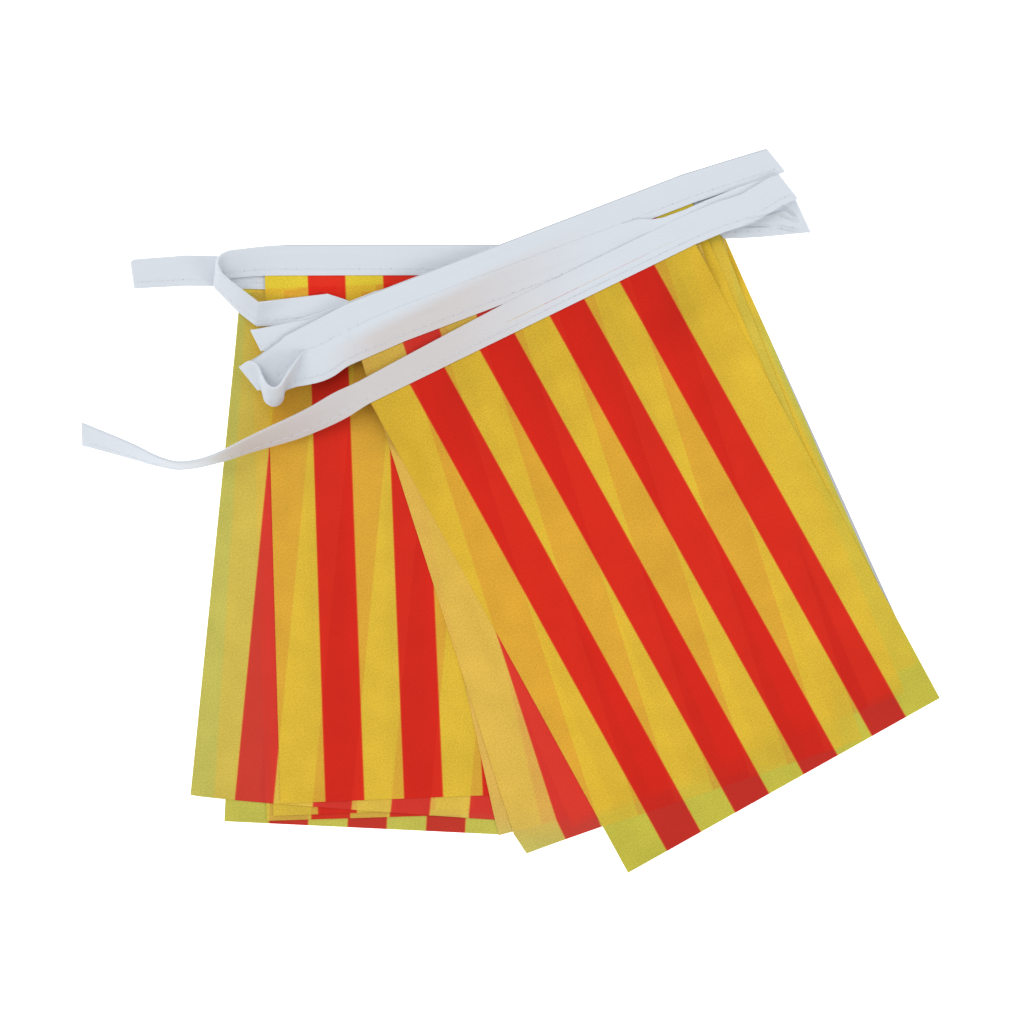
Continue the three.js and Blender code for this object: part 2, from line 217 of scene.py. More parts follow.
# Linear colours, with the light through the sheer cloth painted in: LIT is what a cloth sends back
# itself,
# THROUGH the share of what lies beneath it that is seen through it, and GLOW the painted light it sends
# on from a bare ground, for the yellow and the red print.
YELLOW_LIT = (0.217, 0.359, 0.033)
YELLOW_THROUGH = (0.70, 0.22, 0.08)
YELLOW_GLOW = (-0.125, -0.015, 0.036)
RED_LIT = (0.135, 0.018, 0.0083)
RED_THROUGH = (0.775, 0.012, 0.05)
RED_GLOW = (-0.10, 0.01, 0.008)
GLOW_LEFT = (0.5, 0.55, 0.55)  # shares of the glow that each further layer lets by
GLOW_SHARES = {8: (0.0, 0.0, 0.0), 10: (0.8, 0.2, 0.5)}
# Painted shade: the ground seen through the cloth is a dim greenish colour, not the white of the ground.
FLOOR_BENEATH = (0.60, 0.60, 0.10)
TAPE_BENEATH = (0.78, 1.0, 0.10)
PALE = (0.72, 0.50, 0.45)
PALE_SHARES = {3: (0.05, 0.03), 6: (0.12, 0.03), 9: (0.09, 0.03)}
# Painted shade, darkening the colour of the uppermost flag:
PAINTED_TOP_SHADE = 0.11  # how much darker the uppermost flag is near its tape, and half that at its bottom
# Painted shade, darkening the colour of the flag below it:
PAINTED_GAP_SHADE = 0.17  # how much darker the flag below it is in the gap between their tapes
DEEP_YELLOW = (0.716, 0.474, 0.036)
RIM_SHADE = (0.47, 0.48, 0.52)
TAPE_WHITE = (0.660, 0.702, 0.756)
TAPE_WARM_SHADE = (0.615, 0.583, 0.583)
THREAD_WHITE = (0.69, 0.72, 0.77)
NEEDLE_HOLE = (0.42, 0.37, 0.45)
BORDER = (0.70, 0.25, 0.03)
FLOOR_WHITE = (0.86, 0.86, 0.86)
FLOOR_SHINE = 0.9
SKY_LIGHT = 0.72

# The print. Blurs are in millimetres: of a flag's own print, of the next flag beneath, what each
# further one adds, of the left pile seen through the right one, and of the tape.
OWN_BLUR = 0.14
NEXT_BLUR = 0.25
FURTHER_BLUR = 0.35
PILE_BLUR = 8.0
TAPE_BLUR = 0.5
INNER_STRIPES = 7
BORDER_SHARE = 0.3
BORDER_FADE = (0.12, 0.02)  # heights of the wave of stripes between which a border fades in
WASHED = (3.0, 7.0)  # blurs between which the stripes wash out
WASHED_RED = 0.35  # share of red that is left then
PRODUCT_UNIT = 100.0  # what the product of x and y is divided by

# Pairs of places between which a painted shade fades in, as distances from the top of a flag.
TOP_FADE = (62.0, 0.0)
BOTTOM_FADE = (148.0, FLAG_DROP)
GAP_FADE = (20.0, 5.0)

# The right side of the lowest flag of the right pile: distances from that side and from the top
# between which the cover of many layers fades in, and between which its shaded rim does.
COVERED_SIDE = (0.5, 5.0)
COVERED_TOP = (62.0, 22.0)
COVERED_REACH = (24.0, 18.0)
RIM_STARTS = (45.0, 70.0)
RIM_GROWS = (85.0, 120.0)
RIM_ENDS = (192.0, 186.0)
RIM_WIDTH = 0.5
RIM_BLUR = 0.15

# The grain of both cloths.
FINE_GRAIN = (1.7, 3.0, 0.75)  # scale, detail and roughness
BROAD_GRAIN = (0.06, 2.0, 0.5)
BROAD_SHARE = 0.3
GRAIN_MIDDLE = 0.65
CALM_RED = -0.5  # how much less the grain shows on the red print
TAPE_GRAIN = 0.06  # how much it shows on the tape

# The painted warm shade of the tape, as shade and light sent back by the cloth around it: height above a
# line along the upper passes, given by the line's normal and offset, and places along x, each as a pair
# between which it fades in.
WARM_NORMAL = (-0.4386, 0.899, 0.0)
WARM_OFFSET = -61.66
WARM_UPPER = (12.0, 18.0)
WARM_OUTER = (-50.0, -75.0)
WARM_BELOW = (28.0, 22.0)
WARM_RIGHT = (38.0, -32.0)
WARM_LEFT = (-122.0, -100.0)

# The face of the tape: distances from the needle's place and from the open edge, and its streaks.
# The outer folded edges take a painted shade, and the streaks take painted light and shade.
HOLE_FADE = (0.42, 0.12)
HOLE_SHARE = 0.75
HOLE_STRETCH = (0.11, 0, 0)
HOLE_UNEVEN = (0.4, 0.6)
DIMPLE_FADE = (1.7, 0.0)
DIMPLE_DEPTH = -0.20
EDGE_FADE = (11.2, TAPE_WIDTH)
PAINTED_EDGE_SHADE = -0.3
STREAK_STRETCH = (0.022, 0.3, 0)
PAINTED_STREAK_SHADE = 0.04
STREAK_HEIGHT = 0.4
WEAVE_HEIGHT = 0.05


def smooth(share):
    """A smooth step from 0 to 1 as the share goes from 0 to 1."""
    share = np.clip(share, 0, 1)
    return share * share * (3 - 2 * share)


def tape_level(index, x, y):
    """Height of the middle of the tape over a flag: its level times PITCH, and in the right pile less
    the fall past the left one times the smooth step of how far along it the point is."""
    height = index * PITCH + SHEET / 2 + np.zeros_like(x)
    if index >= PILE:
        share = (EAST["x"] * x + EAST["y"] * y - EAST["start"]) / EAST["length"]
        height = height - EAST["fall"] * smooth(share)
    return height


def side_distances(corners, x, y):
    """How far inside each side of a flag a place lies, in the order top, right, bottom and left."""
    distances = []
    for i in range(4):
        start = np.array(corners[i])
        way = np.array(corners[(i + 1) % 4]) - start
        distances.append(((x - start[0]) * way[1] - (y - start[1]) * way[0]) / np.hypot(*way))
    return np.stack(distances)


def greater(first, second):
    """The greater of two heights, rounded where they meet."""
    return (first + second + np.sqrt((first - second) ** 2 + ROUNDING)) / 2


def resting_height(index, x, y):
    """Height of a flag's middle plane. Each flag lies one pitch above every flag beneath it, and comes
    down by a smooth step past the sides of that flag. The pitch is least at the rim of the piles. Near
    its own tape a flag is as high as the tape, and near its own sides it comes down to the next one."""
    sides = [side_distances(corners, x, y) for corners in FLAGS]
    closed = smooth(np.max([away[1:].min(axis=0) for away in sides], axis=0) / RIM_REACH)
    pitch = RIM_PITCH + (PITCH - RIM_PITCH) * closed
    heights = []
    settled = []
    for number in range(index + 1):
        away = sides[number]
        height = np.full_like(x, ON_GROUND)
        rest = np.full_like(x, ON_GROUND)
        for lower in range(number):
            outside = np.minimum(sides[lower], 0)
            cover = np.prod(smooth(1 + outside / REACH), axis=0)
            height = greater(height, (heights[lower] + pitch) * cover)
            near = np.prod(smooth(1 + outside / SHORT_REACH), axis=0)
            rest = np.maximum(rest, (settled[lower] + CLOSE) * near)
        level = tape_level(number, x, y)
        heights.append(level + (height - level) * smooth(away[0] / HANG))
        droop = (heights[-1] - rest) * (1 - smooth(away[1:].min(axis=0) / DROOP_REACH))
        settled.append(heights[-1] - np.maximum(droop, 0) * smooth((away[0] - HELD) / DROOP_REACH))
    return settled[index]


def quads(rows, columns, wrap=False):
    """Faces of a grid of points numbered row by row, joined round from the last column if wrap."""
    numbers = np.arange(rows * columns).reshape(rows, columns)
    if wrap:
        numbers = np.hstack([numbers, numbers[:, :1]])
    corners = numbers[:-1, :-1], numbers[1:, :-1], numbers[1:, 1:], numbers[:-1, 1:]
    return np.stack(corners, -1).reshape(-1, 4)


def signed_volume(points, faces):
    """Six times the volume inside four-cornered faces, below zero if they face inwards."""
    a, b, c, d = (points[faces[:, i]] for i in range(4))
    total = np.einsum("ij,ij->i", a, np.cross(b, c)) + np.einsum("ij,ij->i", a, np.cross(c, d))
    return total.sum()


def make_piece(name, points, faces, uv, material, sharp=35):
    """A closed mesh from points in millimetres, four-cornered faces and one texture place per point."""
    if signed_volume(points, faces) < 0:
        faces = faces[:, ::-1]
    mesh = bpy.data.meshes.new(name)
    mesh.from_pydata((points * METRE).tolist(), [], faces.tolist())
    mesh.validate()
    layer = mesh.uv_layers.new(name="Cloth")
    loops = np.empty(len(mesh.loops), np.int64)
    mesh.loops.foreach_get("vertex_index", loops)
    layer.data.foreach_set("uv", (uv[loops] * METRE).astype(np.float32).ravel())
    mesh.shade_smooth()
    mesh.set_sharp_from_angle(angle=math.radians(sharp))
    mesh.materials.append(material)
    piece = bpy.data.objects.new(name, mesh)
    bpy.context.scene.collection.objects.link(piece)
    return piece


class Nodes:
    """Short ways to add and join nodes of one tree."""

    def __init__(self, tree):
        self.tree = tree
        tree.nodes.clear()

    def add(self, kind, **settings):
        node = self.tree.nodes.new(kind)
        for key, value in settings.items():
            setattr(node, key, value)
        return node

    def put(self, socket, value):
        if isinstance(value, bpy.types.NodeSocket):
            self.tree.links.new(value, socket)
        elif socket.type == "RGBA" and len(value) == 3:
            socket.default_value = (*value, 1)
        else:
            socket.default_value = value

    def math(self, operation, *values, clamp=False):
        node = self.add("ShaderNodeMath", operation=operation, use_clamp=clamp)
        for socket, value in zip(node.inputs, values):
            self.put(socket, value)
        return node.outputs[0]

    def vector(self, operation, *values):
        node = self.add("ShaderNodeVectorMath", operation=operation)
        for socket, value in zip(node.inputs, values):
            self.put(socket, value)
        return node.outputs["Value" if operation in ("DOT_PRODUCT", "LENGTH") else "Vector"]

    def split(self, vector):
        node = self.add("ShaderNodeSeparateXYZ")
        self.put(node.inputs[0], vector)
        return node.outputs

    def mix(self, share, first, second):
        node = self.add("ShaderNodeMix", data_type="RGBA")
        self.put(node.inputs[0], share)
        self.put(node.inputs[6], first)
        self.put(node.inputs[7], second)
        return node.outputs[2]

    def step(self, value, low, high):
        node = self.add("ShaderNodeMapRange", interpolation_type="SMOOTHSTEP")
        self.put(node.inputs["Value"], value)
        self.put(node.inputs["From Min"], low)
        self.put(node.inputs["From Max"], high)
        return node.outputs[0]

    def noise(self, place, scale, detail=2.0, roughness=0.5):
        node = self.add("ShaderNodeTexNoise")
        self.put(node.inputs["Vector"], place)
        self.put(node.inputs["Scale"], scale)
        self.put(node.inputs["Detail"], detail)
        self.put(node.inputs["Roughness"], roughness)
        return node.outputs[0]

    def group(self, tree, **values):
        node = self.add("ShaderNodeGroup", node_tree=tree)
        for key, value in values.items():
            self.put(node.inputs[key.replace("_", " ")], value)
        return node.outputs


def new_group(name, inputs, outputs):
    """A shader node group with its sockets, given as names and kinds."""
    tree = bpy.data.node_groups.new(name, "ShaderNodeTree")
    for in_out, sockets in (("INPUT", inputs), ("OUTPUT", outputs)):
        for label, kind in sockets.items():
            tree.interface.new_socket(label, in_out=in_out, socket_type="NodeSocket" + kind)
    nodes = Nodes(tree)
    return tree, nodes, nodes.add("NodeGroupInput").outputs, nodes.add("NodeGroupOutput").inputs


def stripes_group():
    """The print across a flag: which places are red, and which lie on a border between the colours.
    A strong blur also washes the stripes out."""
    tree, nodes, given, out = new_group(
        "Stripes", {"Across": "Float", "Blur": "Float"}, {"Red": "Float", "Border": "Float"}
    )
    count = nodes.math("DIVIDE", nodes.math("SUBTRACT", given["Across"], OUTER_STRIPE), STRIPE)
    wave = nodes.math("SINE", nodes.math("MULTIPLY", count, math.pi))
    wide = nodes.math("MINIMUM", nodes.math("MULTIPLY", given["Blur"], math.pi / STRIPE), 1.0)
    red = nodes.step(wave, nodes.math("MULTIPLY", wide, -1.0), wide)
    first = nodes.math("GREATER_THAN", count, -0.5)
    last = nodes.math("LESS_THAN", count, INNER_STRIPES + 0.5)
    striped = nodes.math("MULTIPLY", first, last)
    red = nodes.math("MULTIPLY", striped, red)
    near = nodes.step(nodes.math("ABSOLUTE", wave), *BORDER_FADE)
    washed = nodes.step(given["Blur"], *WASHED)
    even = nodes.math("MULTIPLY", nodes.math("SUBTRACT", WASHED_RED, red), washed)
    nodes.put(out["Red"], nodes.math("ADD", red, even))
    nodes.put(out["Border"], nodes.math("MULTIPLY", near, striped))
    return tree


def seen_over_group(stripes):
    """A sheer printed cloth over what lies beneath it: the colour that both send back together, as it
    is seen itself and as it lies behind a further layer, and how bare the ground beneath is."""
    tree, nodes, given, out = new_group(
        "Seen over",
        {"Under": "Color", "Bare": "Vector", "Across": "Float", "Inside": "Float", "Blur": "Float"},
        {"Colour": "Color", "Behind": "Color", "Bare": "Vector", "Red": "Float", "Border": "Float"},
    )
    marks = nodes.group(stripes, Across=given["Across"], Blur=given["Blur"])
    lit = nodes.mix(marks["Red"], YELLOW_LIT, RED_LIT)
    through = nodes.mix(marks["Red"], YELLOW_THROUGH, RED_THROUGH)
    redder = tuple(np.subtract(RED_GLOW, YELLOW_GLOW))
    glow = nodes.vector("ADD", scaled(nodes, redder, marks["Red"]), YELLOW_GLOW)
    glow = nodes.vector("MULTIPLY", glow, given["Bare"])
    passed = nodes.vector("MULTIPLY", through, given["Under"])
    both = nodes.vector("ADD", lit, passed)
    seen = nodes.vector("ADD", both, glow)
    left = nodes.mix(given["Inside"], (1, 1, 1), GLOW_LEFT)
    nodes.put(out["Colour"], nodes.mix(given["Inside"], given["Under"], seen))
    nodes.put(out["Behind"], nodes.mix(given["Inside"], given["Under"], both))
    nodes.put(out["Bare"], nodes.vector("MULTIPLY", given["Bare"], left))
    nodes.put(out["Red"], marks["Red"])
    nodes.put(out["Border"], marks["Border"])
    return tree


PLACE_SOCKETS = {
    "Place": "Vector",
    "Across row": "Vector",
    "Across start": "Float",
    "Down row": "Vector",
    "Down start": "Float",
    "Blur": "Float",
}


def inside_group():
    """Where a place lies on a four-cornered piece beneath, in millimetres across it, and how far it is
    covered by the piece, with soft edges."""
    sockets = {**PLACE_SOCKETS, "Wide": "Float", "Long": "Float"}
    tree, nodes, given, out = new_group("Inside", sockets, {"Across": "Float", "Inside": "Float"})
    across = nodes.vector("DOT_PRODUCT", given["Place"], given["Across row"])
    across = nodes.math("ADD", across, given["Across start"])
    down = nodes.vector("DOT_PRODUCT", given["Place"], given["Down row"])
    down = nodes.math("ADD", down, given["Down start"])
    less = nodes.math("MULTIPLY", given["Blur"], -1.0)
    inside = nodes.step(across, less, given["Blur"])
    for value, size in ((across, given["Wide"]), (down, given["Long"])):
        rest = nodes.math("SUBTRACT", size, value)
        inside = nodes.math("MULTIPLY", inside, nodes.step(rest, less, given["Blur"]))
    inside = nodes.math("MULTIPLY", inside, nodes.step(down, less, given["Blur"]))
    nodes.put(out["Across"], across)
    nodes.put(out["Inside"], inside)
    return tree


def flag_beneath_group(inside, seen_over):
    """One flag of the pile as it is seen through the ones above it."""
    tree, nodes, given, out = new_group(
        "Flag beneath",
        {"Under": "Color", "Bare": "Vector", **PLACE_SOCKETS},
        {"Colour": "Color", "Bare": "Vector"},
    )
    values = {label.replace(" ", "_"): given[label] for label in PLACE_SOCKETS}
    found = nodes.group(inside, **values, Wide=FLAG_WIDTH, Long=FLAG_DROP)
    seen = nodes.group(
        seen_over,
        Under=given["Under"],
        Bare=given["Bare"],
        Across=found["Across"],
        Inside=found["Inside"],
        Blur=given["Blur"],
    )
    nodes.put(out["Colour"], seen["Behind"])
    nodes.put(out["Bare"], seen["Bare"])
    return tree


def tape_beneath_group(inside):
    """One pass of the tape as it is seen through the flags above it."""
    tree, nodes, given, out = new_group(
        "Tape beneath",
        {"Under": "Color", "Bare": "Vector", "Wide": "Float", **PLACE_SOCKETS},
        {"Colour": "Color", "Bare": "Vector"},
    )
    values = {label.replace(" ", "_"): given[label] for label in PLACE_SOCKETS}
    found = nodes.group(inside, **values, Wide=given["Wide"], Long=TAPE_WIDTH)
    shut = scaled(nodes, given["Bare"], nodes.math("SUBTRACT", 1.0, found["Inside"]))
    nodes.put(out["Colour"], nodes.mix(found["Inside"], given["Under"], TAPE_BENEATH))
    nodes.put(out["Bare"], shut)
    return tree


def grain_group():
    """The fine crepe of the cloth: a height and a shade that vary from thread to thread."""
    tree, nodes, given, out = new_group(
        "Cloth grain", {"Place": "Vector"}, {"Height": "Float", "Shade": "Float"}
    )
    fine = nodes.noise(given["Place"], *FINE_GRAIN)
    broad = nodes.noise(given["Place"], *BROAD_GRAIN)
    nodes.put(out["Height"], fine)
    nodes.put(out["Shade"], nodes.math("ADD", fine, nodes.math("MULTIPLY", broad, BROAD_SHARE)))
    return tree


def fold_group():
    """A soft fold along a straight line seen from above: 1 on the line, 0 at its half width."""
    sockets = {"Place": "Vector", "From": "Vector", "Way": "Vector", "Rule": "Vector", "Wide": "Float"}
    tree, nodes, given, out = new_group("Soft fold", sockets, {"Height": "Float"})
    off = nodes.vector("SUBTRACT", given["Place"], given["From"])
    along = nodes.math("ADD", nodes.vector("DOT_PRODUCT", off, given["Rule"]), 0.0, clamp=True)
    reached = scaled(nodes, given["Way"], along)
    apart = nodes.vector("LENGTH", nodes.vector("SUBTRACT", off, reached))
    ends = nodes.math("MULTIPLY", nodes.math("SUBTRACT", 1.0, along), nodes.math("MULTIPLY", along, 4.0))
    nodes.put(out["Height"], nodes.math("MULTIPLY", nodes.step(apart, given["Wide"], 0.0), ends))
    return tree


def fitted(corners, across, down):
    """The two linear rules that turn x, y and x times y over its unit into millimetres across and down
    a four-cornered piece, exact at its corners."""
    x, y = np.array(corners, float).T
    terms = np.stack([x, y, x * y / PRODUCT_UNIT, np.ones(4)], 1)
    across = np.linalg.solve(terms, np.array(across, float))
    down = np.linalg.solve(terms, np.array(down, float))
    return {
        "Across_row": tuple(across[:3]),
        "Across_start": across[3],
        "Down_row": tuple(down[:3]),
        "Down_start": down[3],
    }


def printed_corners(index):
    """Where along the print the four corners of a flag lie."""
    left, right = PRINTED_TOP.get(index, (0.0, FLAG_WIDTH))
    return left, right, PRINTED_BOTTOM.get(index, FLAG_WIDTH), 0.0


def new_material(name):
    """An empty material and its nodes."""
    material = bpy.data.materials.new(name)
    material.use_nodes = True
    return material, Nodes(material.node_tree)


def principled(nodes, colour, roughness, specular, normal=None):
    """The surface shader of a material, joined to its output."""
    shader = nodes.add("ShaderNodeBsdfPrincipled")
    nodes.put(shader.inputs["Base Color"], colour)
    if normal:
        nodes.put(shader.inputs["Normal"], normal)
    shader.inputs["Roughness"].default_value = roughness
    shader.inputs["Specular IOR Level"].default_value = specular
    output = nodes.add("ShaderNodeOutputMaterial")
    nodes.put(output.inputs["Surface"], shader.outputs[0])
    return shader


def bumped(nodes, height, strength, distance):
    """The normal of a surface with a height on it."""
    node = nodes.add("ShaderNodeBump")
    nodes.put(node.inputs["Height"], height)
    node.inputs["Strength"].default_value = strength
    node.inputs["Distance"].default_value = distance
    return node.outputs[0]


def texture_place(nodes):
    """The place in the part's frame, and the place on the cloth, both in millimetres."""
    coordinates = nodes.add("ShaderNodeTexCoord")
    place = nodes.vector("MULTIPLY", coordinates.outputs["Object"], (1000, 1000, 1000))
    cloth = nodes.vector("MULTIPLY", coordinates.outputs["UV"], (1000, 1000, 1000))
    return place, cloth


def tape_corners(index):
    """The four corners of one pass of the tape seen from above, its stitched edge first."""
    left, _, right = PASSES[index]
    start = left[:2] if left else FLAGS[index][0]
    end = right[:2]
    along = np.subtract(end, start)
    out = np.array([-along[1], along[0]]) * TAPE_WIDTH / np.hypot(*along)
    corners = [tuple(start), tuple(end), tuple(end + out), tuple(start + out)]
    return corners, float(np.hypot(*along))


def scaled(nodes, colour, factor):
    """A colour times a factor."""
    product = nodes.vector("SCALE", colour)
    nodes.put(product.node.inputs["Scale"], factor)
    return product


def seen_beneath(nodes, index, place, groups):
    """The colour of all that lies under a flag, from the ground up, and how bare the ground is. The
    tape shows through in the left pile alone."""
    colour, bare = FLOOR_BENEATH, (1, 1, 1)
    for lower in range(index):
        blur = NEXT_BLUR + FURTHER_BLUR * (index - lower - 1)
        if index >= PILE > lower:
            blur = PILE_BLUR
        corners = SHIFTED_BENEATH.get((index, lower), FLAGS[lower])
        rules = fitted(corners, printed_corners(lower), (0, 0, FLAG_DROP, FLAG_DROP))
        values = {"Under": colour, "Bare": bare, "Place": place, "Blur": blur, **rules}
        colour, bare = nodes.group(groups["flag"], **values)
        if index < PILE:
            corners, wide = tape_corners(lower)
            rules = fitted(corners, (0, wide, wide, 0), (0, 0, TAPE_WIDTH, TAPE_WIDTH))
            values = {"Under": colour, "Bare": bare, "Place": place, "Blur": TAPE_BLUR, **rules}
            colour, bare = nodes.group(groups["tape"], Wide=wide, **values)
    if index in GLOW_SHARES:
        bare = nodes.vector("MULTIPLY", bare, GLOW_SHARES[index])
    return colour, bare


def covered_rim(nodes, colour, across, down):
    """The lowest flag of the right pile turns from the full yellow of many layers to its own greenish
    one towards its right side, but near its top it is full yellow all the way."""
    left = nodes.math("SUBTRACT", FLAG_WIDTH, across)
    covered = nodes.math("MAXIMUM", nodes.step(left, *COVERED_SIDE), nodes.step(down, *COVERED_TOP))
    at_side = nodes.step(left, *COVERED_REACH)
    return nodes.mix(nodes.math("MULTIPLY", covered, at_side), colour, DEEP_YELLOW)


def shaded_rim(nodes, colour, across, down):
    """The narrow rim of the lowest flag of the right pile, which lies in shade: it starts near the top
    of its right side and grows to twice its width."""
    wide = nodes.math("MULTIPLY", nodes.step(down, *RIM_STARTS), RIM_WIDTH)
    wide = nodes.math("MULTIPLY_ADD", nodes.step(down, *RIM_GROWS), RIM_WIDTH, wide)
    wide = nodes.math("MULTIPLY", wide, nodes.step(down, *RIM_ENDS))
    left = nodes.math("SUBTRACT", FLAG_WIDTH, across)
    share = nodes.step(nodes.math("SUBTRACT", left, wide), RIM_BLUR, -RIM_BLUR)
    return nodes.mix(share, colour, RIM_SHADE)


def flag_material(index, groups):
    """Sheer printed polyester: its own stripes over every layer that lies beneath it, which shows
    through as painted light.
    """
    material, nodes = new_material(f"Printed cloth {index + 1}")
    place, cloth = texture_place(nodes)
    x, y, _ = nodes.split(place)
    product = nodes.math("DIVIDE", nodes.math("MULTIPLY", x, y), PRODUCT_UNIT)
    join = nodes.add("ShaderNodeCombineXYZ")
    for socket, value in zip(join.inputs, (x, y, product)):
        nodes.put(socket, value)
    under, bare = seen_beneath(nodes, index, join.outputs[0], groups)
    across, down, _ = nodes.split(cloth)
    own = {"Across": across, "Inside": 1.0, "Blur": OWN_BLUR}
    seen = nodes.group(groups["over"], Under=under, Bare=bare, **own)
    grain = nodes.group(groups["grain"], Place=cloth)
    border = nodes.math("MULTIPLY", seen["Border"], BORDER_SHARE)
    colour = nodes.mix(border, seen["Colour"], BORDER)
    if index in PALE_SHARES:
        yellow, red = PALE_SHARES[index]
        share = nodes.math("MULTIPLY_ADD", seen["Red"], red - yellow, yellow)
        colour = nodes.mix(share, colour, PALE)
    calm = nodes.math("MULTIPLY_ADD", seen["Red"], CALM_RED, 1.0)
    shade = nodes.math("MULTIPLY_ADD", nodes.math("SUBTRACT", grain["Shade"], GRAIN_MIDDLE), calm, 1.0)
    if index == len(FLAGS) - 1:
        # Painted shade: the uppermost flag is darker near its tape and, by half as much, at its bottom.
        shade = nodes.math("MULTIPLY_ADD", nodes.step(down, *TOP_FADE), -PAINTED_TOP_SHADE, shade)
        shade = nodes.math("MULTIPLY_ADD", nodes.step(down, *BOTTOM_FADE), -PAINTED_TOP_SHADE / 2, shade)
    elif index == len(FLAGS) - 2:
        # Painted shade in the gap between the two upper tapes.
        shade = nodes.math("MULTIPLY_ADD", nodes.step(down, *GAP_FADE), -PAINTED_GAP_SHADE, shade)
    elif index == PILE:
        colour = covered_rim(nodes, colour, across, down)
    colour = scaled(nodes, colour, shade)
    if index == PILE:
        colour = shaded_rim(nodes, colour, across, down)
    normal = bumped(nodes, grain["Height"], 0.2, 0.0001)
    principled(nodes, colour, 0.8, 0.1, normal)
    return material


def painted_warm_shade(nodes, place):
    """Where the tape is painted darker and warmer, as shade and light sent back by the cloth around it:
    over the left pile, along the two upper passes and the loose end."""
    x = nodes.split(place)[0]
    above = nodes.math("ADD", nodes.vector("DOT_PRODUCT", place, WARM_NORMAL), WARM_OFFSET)
    upper = nodes.step(above, *WARM_UPPER)
    outer = nodes.step(x, *WARM_OUTER)
    kept = nodes.math("SUBTRACT", 1.0, nodes.math("MULTIPLY", upper, outer))
    near = nodes.math("MULTIPLY", nodes.step(above, *WARM_BELOW), nodes.step(x, *WARM_RIGHT))
    over_cloth = nodes.step(x, *WARM_LEFT)
    return nodes.math("MULTIPLY", nodes.math("MULTIPLY", near, kept), over_cloth)


def pressed_folds(nodes, place, group):
    """The heights of all the soft folds in the tape, added up."""
    flat = nodes.vector("MULTIPLY", place, (1, 1, 0))
    total = 0.0
    for start, end, wide, height in TAPE_FOLDS:
        way = np.subtract(end, start)
        rule = way / np.dot(way, way)
        fold = nodes.group(
            group,
            Place=flat,
            From=(*start, 0),
            Way=(*way, 0),
            Rule=(*rule, 0),
            Wide=wide,
        )
        total = nodes.math("MULTIPLY_ADD", fold["Height"], height, total)
    return total


def tape_material(groups):
    """White woven band with needle holes along the open edge and soft creases along it, with painted
    light and shade along its streaks, painted shade on the outer folded edges and a painted warm shade
    among the cloth.
    """
    material, nodes = new_material("Woven tape")
    place, cloth = texture_place(nodes)
    length, side, _ = nodes.split(cloth)
    inward = nodes.math("ABSOLUTE", side)
    turn = nodes.math("DIVIDE", length, STITCH_PITCH)
    off = nodes.math("SUBTRACT", nodes.math("FRACT", turn), 0.5)
    along = nodes.math("MULTIPLY", off, STITCH_PITCH)
    across = nodes.math("SUBTRACT", inward, STITCH_INSET)
    squares = nodes.math("ADD", nodes.math("POWER", along, 2.0), nodes.math("POWER", across, 2.0))
    distance = nodes.math("SQRT", squares)
    grain = nodes.group(groups["grain"], Place=cloth)
    uneven_place = nodes.vector("MULTIPLY", cloth, HOLE_STRETCH)
    uneven = nodes.step(nodes.noise(uneven_place, 1.0), *HOLE_UNEVEN)
    hole = nodes.math("MULTIPLY", nodes.step(distance, *HOLE_FADE), uneven)
    dimple = nodes.step(distance, *DIMPLE_FADE)
    streaks = nodes.noise(nodes.vector("MULTIPLY", cloth, STREAK_STRETCH), 1.0)
    folds = pressed_folds(nodes, place, groups["fold"])
    # Painted warm shade of the tape where it lies among the cloth.
    white = nodes.mix(painted_warm_shade(nodes, place), TAPE_WHITE, TAPE_WARM_SHADE)
    coloured = nodes.mix(nodes.math("MULTIPLY", hole, HOLE_SHARE), white, NEEDLE_HOLE)
    uneven_grain = nodes.math("SUBTRACT", grain["Shade"], GRAIN_MIDDLE)
    shade = nodes.math("MULTIPLY_ADD", uneven_grain, TAPE_GRAIN, 1.0)
    # Painted light and shade along the streaks, which the bump also raises.
    shade = nodes.math("MULTIPLY_ADD", nodes.math("SUBTRACT", streaks, 0.5), PAINTED_STREAK_SHADE, shade)
    # Painted shade along the folded edge of the loop's and the lip's passes.
    outer = nodes.add("ShaderNodeAttribute", attribute_name="Outer edge").outputs["Fac"]
    edge = nodes.math("MULTIPLY", nodes.step(inward, *EDGE_FADE), outer)
    shade = nodes.math("MULTIPLY_ADD", edge, PAINTED_EDGE_SHADE, shade)
    colour = scaled(nodes, coloured, shade)
    weave = nodes.math("MULTIPLY", grain["Height"], WEAVE_HEIGHT)
    height = nodes.math("MULTIPLY_ADD", dimple, DIMPLE_DEPTH, weave)
    height = nodes.math("MULTIPLY_ADD", streaks, STREAK_HEIGHT, nodes.math("ADD", height, folds))
    normal = bumped(nodes, height, 0.6, 0.001)
    principled(nodes, colour, 0.75, 0.2, normal)
    return material


def thread_material():
    """Plain white sewing thread."""
    material, nodes = new_material("Sewing thread")
    principled(nodes, THREAD_WHITE, 0.6, 0.5)
    return material


